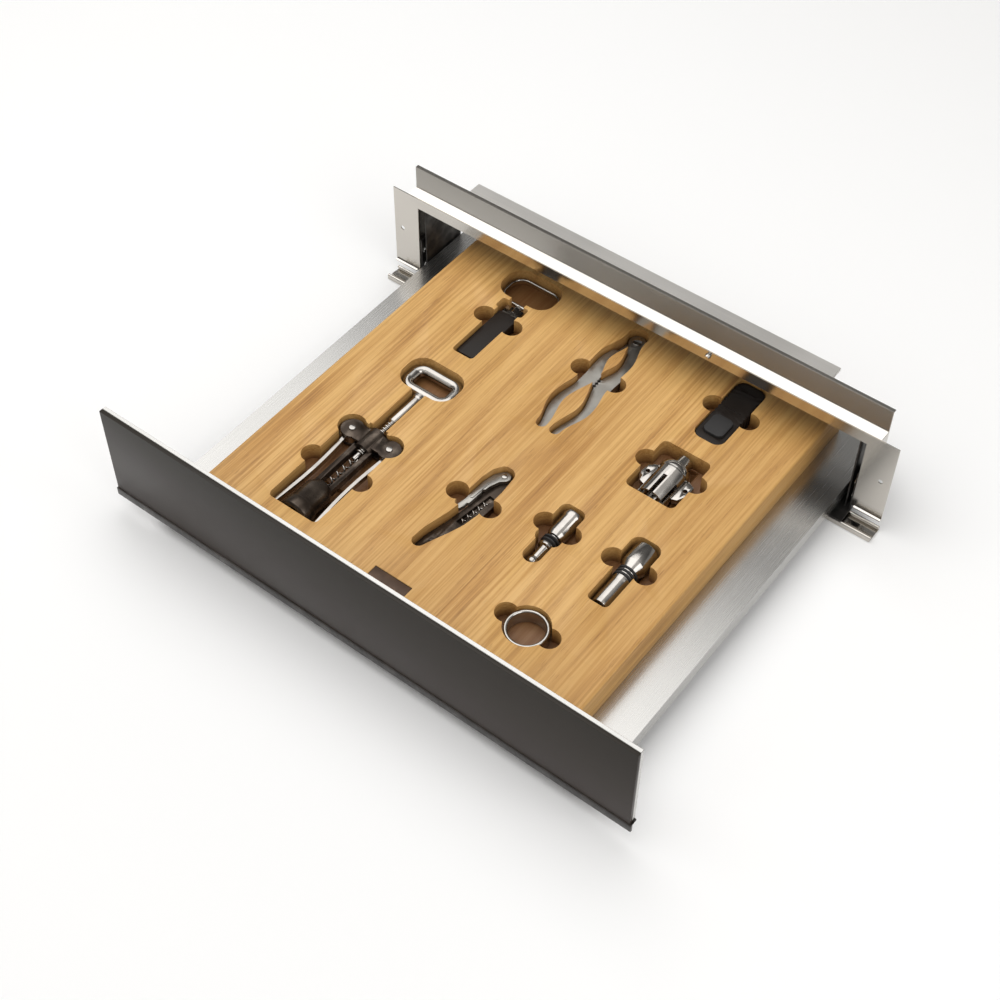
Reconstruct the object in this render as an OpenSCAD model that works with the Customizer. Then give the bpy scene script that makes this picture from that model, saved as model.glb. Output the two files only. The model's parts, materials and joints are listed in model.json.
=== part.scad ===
// Built-in drawer with a glass front, roller guides and an oak tool insert.
// Heights in the modules are counted from the underside of the cross rail, and placed()
// moves everything so that the origin is midway between the two cabinet screws.

/* [Front] */
// How far the front stays inside the flanges on each side
front_margin = 1.5; // [0.5:0.5:4]
// How far the front stands above the flanges
front_rise = 18; // [14:0.5:22]
// Thickness of the front glass
glass_t = 4; // [3:0.5:6]
// Depth of the steel pan behind the glass
carrier_d = 4; // [4:0.5:8]
// Height of the grip profile along the bottom edge
grip_h = 10.2; // [8:0.1:16]

/* [Frame] */
// Width of the niche that the body fills
body_w = 560; // [510:1:680]
// How far each side flange covers the edge of the niche
flange_reach = 19.5; // [16:0.5:24]
// Height of the flanges
flange_h = 101; // [92:1:122]
// Width of the side posts
post_w = 13; // [10:0.5:16]
// Height of the strip above the opening
header_h = 13; // [12:0.5:16]
// Sheet thickness of the frame
sheet_t = 1.2; // [0.8:0.1:2]
// Depth of the shelf above the opening
shelf_d = 14; // [12:0.5:20]
// Height of the upright behind the shelf
upright_h = 27; // [22:1:34]
// Depth of the hem along the top of the upright
hem_d = 3; // [2:0.5:5]
// Width of the plate behind the upright
top_plate_w = 426; // [360:1:500]
// Depth of the plate behind the upright
top_plate_d = 19; // [14:1:24]
// Depth of the hood over the opening
hood_d = 52; // [40:1:60]

/* [Cabinet screws] */
// Distance of the cabinet screws from the flanges' outer edges
screw_inset = 10.5; // [7:0.5:12]
// Height of the cabinet screws above the cross rail's underside
screw_line = 67; // [50:1:80]
// Radius of the cabinet screw holes
screw_hole_r = 2.5; // [2:0.1:3]

/* [Cross rail] */
// Depth of the cross rail from front to back
rail_d = 20; // [18:1:26]
// Height of the cross rail
rail_h = 6; // [5:0.5:9]
// Radius of the rolled lips
lip_r = 1.6; // [1.2:0.1:2]

/* [Guides] */
// Travel from the open stop to the shut drawer
travel = 409; // [395:1:492]
// Radius of the guide rollers
roller_r = 6; // [5:0.25:7.25]
// Width of the guide rollers
roller_w = 7; // [5:0.5:8]
// Radius of the roller axles
axle_r = 2; // [1.5:0.1:2.5]
// Distance between neighbouring rollers
roller_pitch = 26; // [20:1:27]
// Distance of the first roller behind the flanges
roller_start = 10; // [9:1:12]
// Thickness of the guide brackets
bracket_t = 2; // [1.5:0.1:2.5]
// Wall of the drawer rails
channel_t = 1.5; // [1.2:0.1:2]

/* [Tray] */
// Gap between the tray and the opening on each side
side_gap = 10.5; // [9:0.5:13]
// Height of the tray's sides
tray_h = 18; // [17:0.5:20]
// Height of the tray's top above the cross rail's underside
tray_top = 35; // [34:0.5:38]

/* [Insert] */
// Width of the oak insert
oak_w = 430; // [424:1:460]
// Steel left bare behind the oak insert
tray_margin = 16; // [12:0.5:20]
// Thickness of the lower board
base_t = 14; // [12:0.5:18]
// Thickness of the upper board, which is the depth of the pockets
pocket_d = 20; // [17:0.5:20]
// Distance of the oak from the front of the glass
oak_start = 14; // [13:0.5:16]
// Radius of the finger scallops
scallop_r = 11; // [9:0.5:13]

/* [Tools] */
// Length of the corkscrew's levers from their pivots
lever_l = 112; // [92:1:114]
// Radius of the corkscrew's bell
bell_r = 16; // [13:0.5:17]
// Radius of the bar of the corkscrew's handle ring
ring_bar_r = 6; // [4:0.1:6.5]
// Radius of the wire of the puller's handle ring
wire_r = 1.8; // [1.4:0.1:2.4]
// Outer radius of the drip ring
drip_r = 21; // [17:0.5:22]
// Length of the pliers from their pivot to the handle ends
pliers_l = 152; // [128:1:160]
// Length of the puller's sheath
sheath_l = 72; // [60:1:84]

/* [Fits] */
// Gap between the shut front and the flanges
shut_gap = 4; // [3:0.5:6]
// Gap between moving faces
run_gap = 0.3; // [0.2:0.05:0.5]
// Radial clearance of an axle in its roller
axle_fit = 0.05; // [0.02:0.01:0.1]
// Gap around a tool in its pocket
pocket_gap = 1.2; // [0.8:0.1:2]
// Radial clearance of a screw in its hole
screw_fit = 0.1; // [0.05:0.05:0.2]

/* [Hidden] */
$fn = 64;

steel = [0.78, 0.77, 0.74];
dark_steel = [0.27, 0.26, 0.25];
chrome = [0.82, 0.82, 0.83];
glass_black = [0.2, 0.18, 0.16];
rubber = [0.1, 0.1, 0.1];
oak = [0.84, 0.66, 0.42];
black = [0.09, 0.09, 0.1];

// widths that follow from the niche
frame_w = body_w + 2 * flange_reach;
opening_w = body_w - 2 * post_w;
tray_w = opening_w - 2 * side_gap;
front_w = frame_w - 2 * front_margin;
front_h = flange_h + front_rise;
screw_span = frame_w - 2 * screw_inset;

// frame
flange_z = rail_h + 11;
flange_top = flange_z + flange_h;
opening_top = flange_top - header_h;
flange_y = -sheet_t;
upright_top = flange_top + upright_h;
post_in = opening_w / 2;
post_out = body_w / 2;

// drawer, whose own y starts at the front of the glass
front_d = glass_t + carrier_d;
front_y = -(travel + front_d + shut_gap + sheet_t);
front_z = flange_z;
front_top = front_z + front_h;
glass_z = front_z + grip_h;
tray_under = tray_top - sheet_t;
tray_in = tray_w / 2 - sheet_t;
floor_z = tray_top + base_t;
oak_top = floor_z + pocket_d;

// guides
channel_out = tray_in;
channel_in = channel_out - channel_t;
channel_reach = 12;
channel_h = 2 * (roller_r + run_gap + channel_t);
roller_z = tray_under - channel_h / 2;
roller_x = channel_in - 1.3 - roller_w / 2;
web_x = roller_x - roller_w / 2 - run_gap - 5.2;
liner_x = tray_w / 2 + 2.8;
liner_t = 1.5;
bracket_z = rail_h;
bracket_end = roller_start + 2 * roller_pitch + roller_r + 8;
rollers = [for (i = [0 : 2]) roller_start + i * roller_pitch];
tray_end = bracket_end - front_y;
oak_end = tray_end - tray_margin;

// latch
latch_x = 92;
latch_z = (opening_top + sheet_t + flange_top - sheet_t) / 2;
latch_h = header_h - 2 * sheet_t - 0.4;
plunger_r = 2.6;
plunger_tip = flange_y - shut_gap + run_gap;
plunger_stroke = shut_gap - run_gap - 0.2;

// heights and places of the tools, in the drawer's own frame
tool_z = floor_z + 9;
corkscrew_x = -124;
corkscrew_pivot_y = 172;
wing_x = 23;
wing_r = 13;
handle_y = 265.5;
handle_w = 62;
handle_h = 40;
handle_r = 16;
puller_x = -122.5;
puller_y = 426.5;
pliers_x = 2.5;
pliers_y = 438;
cutter_x = 131.5;
cutter_y = 408;
waiter_y = 162;
stopper_x = 83.5;
stopper_y = 148;
pourer_x = 160;
pourer_y = 148;
cap_x = 127.5;
cap_y = 306;
drip_x = 126.7;
drip_y = 85.6;
plate_at = [0.8, 49.8];
// glue lines between the staves of the upper board
glue_t = 0.05;
stave_joints = [
    corkscrew_x, (corkscrew_x + pliers_x) / 2, pliers_x, (pliers_x + stopper_x) / 2,
    stopper_x, cap_x, pourer_x
];
butt_joints = [drip_y, corkscrew_pivot_y, handle_y, 370, puller_y];
scallops = [
    [-153.7, 121.6], [-93.3, 121.6], [-139.8, 370], [-105.2, 370],
    [-18.4, 369.7], [22, 369.7], [112, 408], [151.5, 408],
    [-17, 170], [21, 170], [69.5, 190], [97.5, 190],
    [142.5, 194], [177.5, 194], [100, 310.5], [155, 310.5],
    [103.5, 86.5], [150, 86.5]
];

module placed() translate([0, 0, -screw_line]) children();
module drawer() placed() translate([0, front_y, 0]) children();
module both() {
    children();
    mirror([1, 0, 0]) children();
}
module side_of(left) mirror([left ? 1 : 0, 0, 0]) children();

// A block from corner to corner
module block(x0, x1, y0, y1, z0, z1) translate([x0, y0, z0]) cube([x1 - x0, y1 - y0, z1 - z0]);
// A Y-Z outline drawn out along X
module along_x(x0, x1) translate([x0, 0, 0]) rotate([90, 0, 90]) linear_extrude(x1 - x0) children();
// A rod along Y
module rod_y(y0, y1, r) translate([0, y0, 0]) rotate([-90, 0, 0]) cylinder(h = y1 - y0, r = r);
// A rod along X
module rod_x(x0, x1, r) translate([x0, 0, 0]) rotate([0, 90, 0]) cylinder(h = x1 - x0, r = r);
// A radius-against-Y outline turned about Y
module turned_y() rotate([-90, 0, 0]) rotate_extrude() children();
// A flat outline at a height
module flat(z0, z1) translate([0, 0, z0]) linear_extrude(z1 - z0) children();

// A rectangle with round corners, centred
module rounded(w, h, r) {
    square([w - 2 * r, h], center = true);
    square([w, h - 2 * r], center = true);
    for (x = [-1, 1], y = [-1, 1]) translate([x * (w / 2 - r), y * (h / 2 - r)]) circle(r);
}
// A bar with round ends between two points
module bar(a, b, r) {
    d = b - a;
    translate(a) rotate(atan2(d[1], d[0])) translate([0, -r]) square([norm(d), 2 * r]);
    translate(a) circle(r);
    translate(b) circle(r);
}
// The outline of a strip with round ends that follows a centre line, with a half width at each point
function strip(line, half) = concat(
    [for (i = [0 : len(line) - 1]) line[i] + half[i] * side_vector(line, i)],
    strip_end(line, half, len(line) - 1, 1),
    [for (i = [len(line) - 1 : -1 : 0]) line[i] - half[i] * side_vector(line, i)],
    strip_end(line, half, 0, -1)
);
function strip_end(line, half, i, way) = let (n = side_vector(line, i), along = [n[1], -n[0]])
    [for (a = [18 : 18 : 162]) line[i] + way * half[i] * (cos(a) * n + sin(a) * along)];
function side_vector(line, i) = let (
    a = line[max(i - 1, 0)],
    b = line[min(i + 1, len(line) - 1)],
    d = (b - a) / norm(b - a)
) [-d[1], d[0]];

// A round wire wound about Y: radius, wire radius, pitch, turns
module helix_y(r, wire, pitch, turns, steps = 12, sides = 8) {
    count = turns * steps;
    lead = atan2(pitch, 2 * PI * r);
    rings = [for (i = [0 : count]) let (
        a = i * 360 / steps,
        out = [cos(a), 0, sin(a)],
        up = [sin(a) * sin(lead), cos(lead), -cos(a) * sin(lead)],
        centre = r * out + [0, i * pitch / steps, 0]
    ) [for (k = [0 : sides - 1]) centre + wire * (cos(k * 360 / sides) * out + sin(k * 360 / sides) * up)]];
    last = count * sides;
    polyhedron(
        points = [for (ring = rings, p = ring) p],
        faces = concat(
            [[for (k = [0 : sides - 1]) k]],
            [for (i = [0 : count - 1], k = [0 : sides - 1])
                let (n = (k + 1) % sides) [i * sides + k, (i + 1) * sides + k, (i + 1) * sides + n, i * sides + n]],
            [[for (k = [sides - 1 : -1 : 0]) last + k]]
        )
    );
}

// ---------- fixed frame ----------

module front_frame() color(steel) placed() difference() {
    union() {
        block(-frame_w / 2, frame_w / 2, flange_y, 0, flange_z, flange_top);
        both() block(post_in + 3, frame_w / 2, flange_y - 2.4, 0, flange_z, flange_z + sheet_t);
    }
    block(-post_in, post_in, flange_y - 5, 1, flange_z - 1, opening_top);
    both() translate([screw_span / 2, 0, screw_line]) rod_y(flange_y - 1, 1, screw_hole_r);
    translate([latch_x, 0, latch_z]) rod_y(flange_y - 1, 1, plunger_r + run_gap);
}

module rebate_profile() color(steel) placed() along_x(-post_out, post_out) polygon([
    [0, flange_top], [shelf_d - sheet_t, flange_top], [shelf_d - sheet_t, upright_top],
    [shelf_d + hem_d, upright_top], [shelf_d + hem_d, upright_top - sheet_t],
    [shelf_d, upright_top - sheet_t], [shelf_d, flange_top - sheet_t],
    [0, flange_top - sheet_t]
]);

module top_plate() color(steel) placed() {
    z = upright_top - sheet_t;
    block(-top_plate_w / 2, top_plate_w / 2, shelf_d, shelf_d + top_plate_d, z - sheet_t, z);
    block(-top_plate_w / 2, top_plate_w / 2, shelf_d, shelf_d + sheet_t, flange_top + 4, z - sheet_t);
    both() block(top_plate_w / 2 - sheet_t, top_plate_w / 2, shelf_d + sheet_t, shelf_d + top_plate_d,
        z - 4, z - sheet_t);
}

module side_post(left) color(steel) placed() side_of(left) {
    inner = post_in + sheet_t;
    back = shelf_d - sheet_t;
    top = flange_top - sheet_t;
    difference() {
        block(post_in, post_out, 0, shelf_d, flange_z, top);
        block(inner, post_out - sheet_t, -1, back, flange_z - 1, top + 1);
        for (y = [6], z = [24, 44]) translate([0, y, z]) rod_x(post_in - 1, inner + 1, 2 + screw_fit);
    }
}
module side_post_left() side_post(true);
module side_post_right() side_post(false);

module collar_top() color(dark_steel) placed() {
    half = post_in - 5;
    block(-half, half, 0, hood_d, opening_top, opening_top + sheet_t);
    block(-half, half, 28 - sheet_t, 28, opening_top + sheet_t, opening_top + 8);
}

module cross_rail() color(steel) placed() along_x(-frame_w / 2, frame_w / 2) {
    front = 2 - rail_d;
    translate([front, 0]) square([rail_d, sheet_t]);
    for (y = [front, 2 - sheet_t]) translate([y, 0]) square([sheet_t, rail_h - lip_r]);
    for (y = [front + lip_r, 2 - lip_r]) translate([y, rail_h - lip_r]) circle(lip_r);
    translate([front + rail_d / 2 - 3, sheet_t]) square([6, 1]);
}

module guide_bracket(left) color(dark_steel) placed() side_of(left) {
    top = bracket_z + bracket_t;
    upstand = post_in - bracket_t;
    difference() {
        union() {
            block(web_x - 14, post_in - 9, 2 - rail_d, bracket_end, bracket_z, top);
            block(post_in - 9, post_in, 2 - rail_d, bracket_end - 16, bracket_z, top);
            block(web_x, web_x + bracket_t, 2, bracket_end, top, roller_z + 6);
            along_x(upstand, post_in) polygon([
                [0.5, top], [0.5, 60], [14, 60], [bracket_end - 16, 22], [bracket_end - 16, top]
            ]);
            along_x(liner_x, liner_x + liner_t) polygon([
                [2, top - 1], [2, opening_top - 2], [hood_d, opening_top - 2],
                [bracket_end - 16, 60], [bracket_end - 16, top - 1]
            ]);
        }
        for (y = rollers) translate([0, y, roller_z]) rod_x(web_x - 1, web_x + bracket_t + 1, axle_r);
        for (z = [24, 44]) translate([0, 6, z]) rod_x(upstand - 1, post_in + 1, 2 + screw_fit);
    }
}
module guide_bracket_left() guide_bracket(true);
module guide_bracket_right() guide_bracket(false);

module roller_axles() color(chrome) placed() both() for (y = rollers) translate([0, y, roller_z]) {
    shoulder = web_x + bracket_t;
    face = roller_x - roller_w / 2 - run_gap;
    rod_x(web_x, channel_in - run_gap, axle_r);
    rod_x(web_x - 1.5, web_x, axle_r + 1.5);
    rod_x(shoulder, face, axle_r + 1.6);
    rod_x(roller_x + roller_w / 2 + run_gap, channel_in - run_gap, axle_r + 1.2);
}

module bracket_rivets() color(chrome) placed() both() for (z = [24, 44]) translate([0, 6, z]) {
    rod_x(post_in - bracket_t - 1.4, post_in - bracket_t, 3.4);
    rod_x(post_in - bracket_t, post_in + sheet_t, 2);
    rod_x(post_in + sheet_t, post_in + sheet_t + 1.2, 3.2);
}

module latch_body() color(black) placed() translate([latch_x, 0, latch_z]) difference() {
    block(-8, 8, 0.2, 26, -latch_h / 2, latch_h / 2);
    rod_y(-1, 20, plunger_r + run_gap);
}
module latch_spring() color(chrome) placed()
    translate([latch_x, 15.4, latch_z]) helix_y(1.7, 0.4, 1.1, 3);
module latch_plunger() color(chrome) placed() translate([latch_x, 0, latch_z])
    rod_y(plunger_tip, 10.8, plunger_r);

module roller(left, i) color(black) placed() side_of(left)
    translate([roller_x, rollers[i], roller_z]) rotate([0, 90, 0]) rotate_extrude() polygon([
        [axle_r + axle_fit, -roller_w / 2], [roller_r - 0.6, -roller_w / 2], [roller_r, -roller_w / 2 + 0.6],
        [roller_r, roller_w / 2 - 0.6], [roller_r - 0.6, roller_w / 2], [axle_r + axle_fit, roller_w / 2]
    ]);

// ---------- drawer ----------

module drawer_tray() color(steel) drawer() difference() {
    union() {
        block(-tray_w / 2, tray_w / 2, front_d, tray_end, tray_under, tray_top);
        both() block(tray_in, tray_w / 2, front_d, tray_end, tray_top - tray_h, tray_under);
        block(-tray_in, tray_in, front_d, front_d + sheet_t, tray_top - tray_h, tray_under);
        block(20 - web_x, web_x - 20, tray_end - sheet_t, tray_end, tray_top - tray_h + 2, tray_under);
        block(-oak_w / 2 + 5, oak_w / 2 - 5, front_d, front_d + sheet_t, tray_top, tray_top + 25);
    }
    both() for (x = [145, 165]) translate([x, 0, tray_top + 13])
        rod_y(front_d - 1, front_d + sheet_t + 1, 2 + screw_fit);
}

module drawer_rail(left) color(dark_steel) drawer() side_of(left) difference() {
    block(channel_out - channel_reach, channel_out, front_d + 2, tray_end,
        tray_under - channel_h, tray_under);
    block(channel_out - channel_reach - 1, channel_in, front_d + 1, tray_end + 1,
        tray_under - channel_h + channel_t, tray_under - channel_t);
}
module drawer_rail_left() drawer_rail(true);
module drawer_rail_right() drawer_rail(false);

module rail_end_stops() color(rubber) drawer() both()
    block(channel_out - channel_reach, channel_in, tray_end - 7, tray_end - 0.5,
        tray_under - channel_h + channel_t, tray_under - channel_t);

module front_carrier() color(steel) drawer() difference() {
    half = front_w / 2;
    block(-half, half, glass_t, front_d, glass_z + 1, front_top);
    block(1 - half, half - 1, glass_t + 1, front_d + 1, glass_z + 2, front_top - 1);
}

module front_glass() color(glass_black) drawer()
    block(-front_w / 2, front_w / 2, 0, glass_t, glass_z, front_top);

module grip_profile() color(glass_black) drawer() along_x(-front_w / 2 - 1.5, front_w / 2 + 1.5) polygon([
    [-0.6, front_z + 1], [-0.6, glass_z], [glass_t, glass_z], [glass_t, glass_z + 1],
    [front_d, glass_z + 1], [front_d, glass_z - 1.6], [2.6, glass_z - 1.6],
    [2.6, front_z - 0.6], [1, front_z - 0.6]
]);

module front_blocks() color(steel) drawer() both() difference() {
    block(135, 175, glass_t + 1, front_d, tray_top + 3, tray_top + 23);
    for (x = [145, 165]) translate([x, 0, tray_top + 13]) rod_y(glass_t, front_d + 1, 2 + screw_fit);
}

module front_screws() color(chrome) drawer() both() for (x = [145, 165])
    translate([x, 0, tray_top + 13]) {
        rod_y(glass_t + 1, front_d + sheet_t, 2);
        difference() {
            rod_y(front_d + sheet_t, front_d + sheet_t + 2.4, 3.6);
            rotate([-90, 0, 0]) cylinder(h = front_d + sheet_t + 3, r = 1.5, $fn = 6);
        }
    }

module front_buffers() color(rubber) drawer() both() for (z = [40, 100])
    translate([front_w / 2 - 10, 0, z]) rod_y(glass_t + 1, front_d + shut_gap - run_gap, 4);

module strike_plate() color(steel) drawer()
    block(latch_x - 10, latch_x + 10, glass_t + 1, front_d, latch_z - 7, latch_z + 7);

// ---------- oak insert ----------

module corkscrew_outline(c) translate([corkscrew_x, 0]) {
    translate([0, handle_y]) rounded(handle_w + 2 * c, handle_h + 2 * c, handle_r + c);
    translate([-7 - c, corkscrew_pivot_y]) square([14 + 2 * c, handle_y - corkscrew_pivot_y]);
    translate([-10 - c, corkscrew_pivot_y]) square([20 + 2 * c, 12 + c]);
    bar([-wing_x, corkscrew_pivot_y], [wing_x, corkscrew_pivot_y], 9.5 + c);
    for (s = [-1, 1]) translate([s * wing_x, corkscrew_pivot_y]) circle(wing_r + c);
    front = corkscrew_pivot_y - lever_l - c;
    translate([0, (front + corkscrew_pivot_y) / 2]) rounded(56 + 2 * c, corkscrew_pivot_y - front, 5);
}
module puller_outline(c) translate([puller_x, 0]) {
    translate([0, puller_y]) rounded(handle_w + 2 * c, handle_h + 2 * c, handle_r + c);
    top = puller_y - 33;
    translate([-8 - c, top]) square([16 + 2 * c, 20]);
    translate([0, top]) rounded(30 + 2 * c, 12 + 2 * c, 3);
    translate([0, top - 5 - sheath_l / 2]) rounded(23 + 2 * c, sheath_l + 10 + 2 * c, 4);
}
module pliers_outline(c) translate([pliers_x, pliers_y]) {
    for (s = [-1, 1]) polygon(strip(pliers_line(s), [for (w = pliers_half) w + c]));
    circle(10 + c);
}
module cutter_outline(c) translate([cutter_x, cutter_y]) rounded(31 + 2 * c, 88 + 2 * c, 9 + c);
module waiter_outline(c) translate([0, waiter_y]) {
    polygon(strip(waiter_line, [for (w = waiter_half) w + c]));
    polygon(strip(waiter_arm, [for (w = waiter_arm_half) w + c]));
}
module stopper_outline(c) translate([stopper_x, stopper_y]) {
    bar([0, 4], [0, 20], 8 + c);
    translate([0, 46]) rounded(24 + 2 * c, 50 + 2 * c, 8);
}
module pourer_outline(c) translate([pourer_x, pourer_y]) {
    translate([0, 24]) rounded(20 + 2 * c, 56 + 2 * c, 5);
    translate([0, 62]) rounded(29 + 2 * c, 36 + 2 * c, 10);
}
module cap_outline(c) translate([cap_x, cap_y]) rounded(52 + 2 * c, 66 + 2 * c, 6);
module drip_outline(c) translate([drip_x, drip_y]) circle(drip_r + c);

module oak_base_board() color(oak) drawer() difference() {
    block(-oak_w / 2, oak_w / 2, oak_start, oak_end, tray_top, floor_z);
    bell = corkscrew_pivot_y - lever_l;
    translate([corkscrew_x, 0, tool_z]) rod_y(bell - 4, bell + 56, bell_r + 0.8);
    translate([pourer_x, pourer_y, tool_z]) rod_y(44, 80, 14);
    translate([pourer_x, pourer_y, tool_z]) rod_y(26, 60, 11.2);
    translate([cap_x, cap_y, tool_z]) rod_y(-33, 33, 17.4);
    translate([stopper_x, stopper_y, tool_z]) rod_y(20, 72, 11.6);
    translate([corkscrew_x, 0, tool_z]) rod_y(bell + 56, corkscrew_pivot_y + 14, 11);
}

module oak_top_board() color(oak) drawer() difference() {
    block(-oak_w / 2, oak_w / 2, oak_start, oak_end, floor_z, oak_top);
    flat(floor_z - 1, oak_top + 1) {
        corkscrew_outline(pocket_gap);
        puller_outline(pocket_gap);
        pliers_outline(pocket_gap);
        cutter_outline(pocket_gap);
        waiter_outline(pocket_gap);
        stopper_outline(pocket_gap);
        pourer_outline(pocket_gap);
        cap_outline(pocket_gap);
        drip_outline(pocket_gap);
        for (p = scallops) translate(p) circle(scallop_r);
    }
    translate([plate_at[0], plate_at[1], oak_top - 1.2]) linear_extrude(2) square([42.4, 12.9], center = true);
    for (x = stave_joints) block(x - glue_t / 2, x + glue_t / 2, 0, oak_end + 1, floor_z - 1, oak_top + 1);
    for (y = butt_joints) block(-oak_w, oak_w, y - glue_t / 2, y + glue_t / 2, floor_z - 1, oak_top + 1);
}

module name_plate() color(dark_steel) drawer()
    translate([plate_at[0], plate_at[1], oak_top - 1.2]) linear_extrude(1) square([42, 12.5], center = true);

// ---------- tools ----------

// A loop bent from round bar, lying flat, with its centre at the origin
module loop_handle(w, h, r, bar_r) {
    path_r = r - bar_r;
    x = w / 2 - r;
    y = h / 2 - r;
    for (i = [0 : 3]) rotate(i * 90) translate(i % 2 == 0 ? [x, y, 0] : [y, x, 0])
        rotate_extrude(angle = 90) translate([path_r, 0]) circle(bar_r);
    for (s = [-1, 1]) {
        translate([-x, s * (y + path_r), 0]) rod_x(0, 2 * x, bar_r);
        translate([s * (x + path_r), 0, 0]) rod_y(-y, y, bar_r);
    }
}

module corkscrew_frame() color(dark_steel) drawer() translate([corkscrew_x, 0, tool_z]) {
    rim = corkscrew_pivot_y - lever_l;
    difference() {
        union() {
            turned_y() polygon([
                [bell_r - 2.4, rim], [bell_r, rim + 2], [bell_r, rim + 12], [bell_r - 1.5, rim + 15],
                [bell_r - 1.5, rim + 34], [bell_r - 5, rim + 42], [8, rim + 44], [7, rim + 41],
                [bell_r - 6.5, rim + 38], [bell_r - 4, rim + 32], [bell_r - 4, rim]
            ]);
            for (s = [-1, 1]) block(s * 8.5 - 2.5, s * 8.5 + 2.5, rim + 36, corkscrew_pivot_y - 12, -4, 4);
            rod_y(corkscrew_pivot_y - 14, corkscrew_pivot_y + 12, 10);
            for (z = [-7, 4]) {
                flat(z + 0.1, z + 2.9) bar([-wing_x, corkscrew_pivot_y], [wing_x, corkscrew_pivot_y], 9.5);
                for (s = [-1, 1]) translate([s * wing_x, corkscrew_pivot_y, z])
                    cylinder(h = 3, r = wing_r - 1.5);
            }
        }
        rod_y(corkscrew_pivot_y - 20, corkscrew_pivot_y + 20, 5.4);
        for (s = [-1, 1]) translate([s * wing_x, corkscrew_pivot_y, -12]) cylinder(h = 24, r = 2.1);
        for (s = [-1, 1]) translate([s * wing_x, corkscrew_pivot_y, -4]) cylinder(h = 8, r = wing_r + 0.6);
    }
}

module corkscrew_spindle() color(chrome) drawer() translate([corkscrew_x, 0, tool_z]) {
    top = handle_y - handle_h / 2;
    teeth = 12;
    pitch = 4;
    first = corkscrew_pivot_y - 18;
    turned_y() polygon(concat(
        [[0, first]],
        [for (i = [0 : teeth - 1], k = [0 : 3])
            [k == 0 || k == 3 ? 3.6 : 5, first + i * pitch + [0, 1, 2.4, 3.4][k]]],
        [[3.6, first + teeth * pitch], [6, first + teeth * pitch + 2], [6, top - 5], [0, top - 5]]
    ));
}
module corkscrew_ring() color(chrome) drawer() translate([corkscrew_x, handle_y, tool_z]) {
    front = -handle_h / 2;
    loop_handle(handle_w, handle_h, handle_r, ring_bar_r);
    turned_y() polygon([[0, front - 5], [6, front - 5], [7, front - 3], [7, front + 1], [5, front + 3], [0, front + 3]]);
}

module corkscrew_worm() color(chrome) drawer() translate([corkscrew_x, 0, tool_z]) {
    rod_y(corkscrew_pivot_y - 26, corkscrew_pivot_y - 18, 3);
    translate([0, corkscrew_pivot_y - 25 - 72, 0]) helix_y(3, 1.3, 9, 8);
}

module corkscrew_lever(left) color(chrome) drawer() translate([corkscrew_x, 0, tool_z]) side_of(left)
    difference() {
        union() {
            translate([wing_x, corkscrew_pivot_y, -3.6]) cylinder(h = 7.2, r = wing_r - 2);
            for (i = [0 : 9]) translate([wing_x, corkscrew_pivot_y]) rotate(-55 + i * 15)
                block(wing_r - 4, wing_r, -1, 1, -3.4, 3.4);
            flat(-3.2, 3.2) polygon(strip(lever_line, [for (p = lever_line) 1.7]));
        }
        translate([wing_x, corkscrew_pivot_y, -4]) cylinder(h = 8, r = 2.1);
    }
lever_line = [for (t = [0 : 8])
    [wing_x + 1.6 - 3 * sin(t * 22.5), corkscrew_pivot_y - 6 - (lever_l - 9) * t / 8]];
module corkscrew_lever_left() corkscrew_lever(true);
module corkscrew_lever_right() corkscrew_lever(false);

module corkscrew_pins() color(chrome) drawer() translate([corkscrew_x, corkscrew_pivot_y, tool_z])
    for (s = [-1, 1]) translate([s * wing_x, 0, 0]) {
        translate([0, 0, -7]) cylinder(h = 14, r = 2);
        translate([0, 0, 7]) cylinder(h = 1.2, r = 3.4);
        translate([0, 0, -8.2]) cylinder(h = 1.2, r = 3.4);
    }

module puller_handle() color(chrome) drawer() translate([puller_x, puller_y, tool_z]) difference() {
    union() {
        loop_handle(handle_w, handle_h, handle_r, wire_r);
        turned_y() polygon([[0, -32], [4.4, -32], [4.4, -24], [3, -20], [0, -18]]);
        block(-10, 10, -38, -26, -4, 4);
    }
    for (s = [-1, 1]) block(s * 7 - 2.1, s * 7 + 2.1, -39, -33, -0.7, 0.7);
}
module puller_blades() color(steel) drawer() translate([puller_x, puller_y, tool_z])
    for (s = [-1, 1]) block(s * 7 - 2, s * 7 + 2, -38 - sheath_l + 8, -33, -0.6, 0.6);
module puller_sheath() color(black) drawer() translate([puller_x, puller_y - 38.2 - sheath_l / 2, tool_z])
    difference() {
        flat(-5.5, 5.5) rounded(23, sheath_l, 3);
        for (s = [-1, 1]) block(s * 7 - 2.4, s * 7 + 2.4, 6 - sheath_l / 2, sheath_l / 2 + 1, -1, 1);
    }

// Value at t on a smooth path through a list of [t, value] pairs
function eased(path, t, i = 0) = i >= len(path) - 2 || t <= path[i + 1][0]
    ? let (a = path[i], b = path[i + 1], u = (t - a[0]) / (b[0] - a[0]))
        a[1] + (b[1] - a[1]) * (1 - cos(180 * u)) / 2
    : eased(path, t, i + 1);
function last_of(line) = line[len(line) - 1];

// Half of the pliers as a strip: how far its centre line and its edges stand out along its length
pliers_steps = 28;
pliers_bow = [[0, 4.9], [0.25, 12.5], [0.45, 8.6], [0.74, 16], [1, 8]];
pliers_width = [[0, 5.2], [0.25, 5.6], [0.45, 8.3], [0.6, 6.2], [0.74, 5.8], [1, 4.6]];
pliers_half = [for (i = [0 : pliers_steps]) eased(pliers_width, i / pliers_steps)];
function pliers_line(side) = [for (i = [0 : pliers_steps]) let (t = i / pliers_steps)
    [side * eased(pliers_bow, t), -6 - (pliers_l - 6) * t]];

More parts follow.
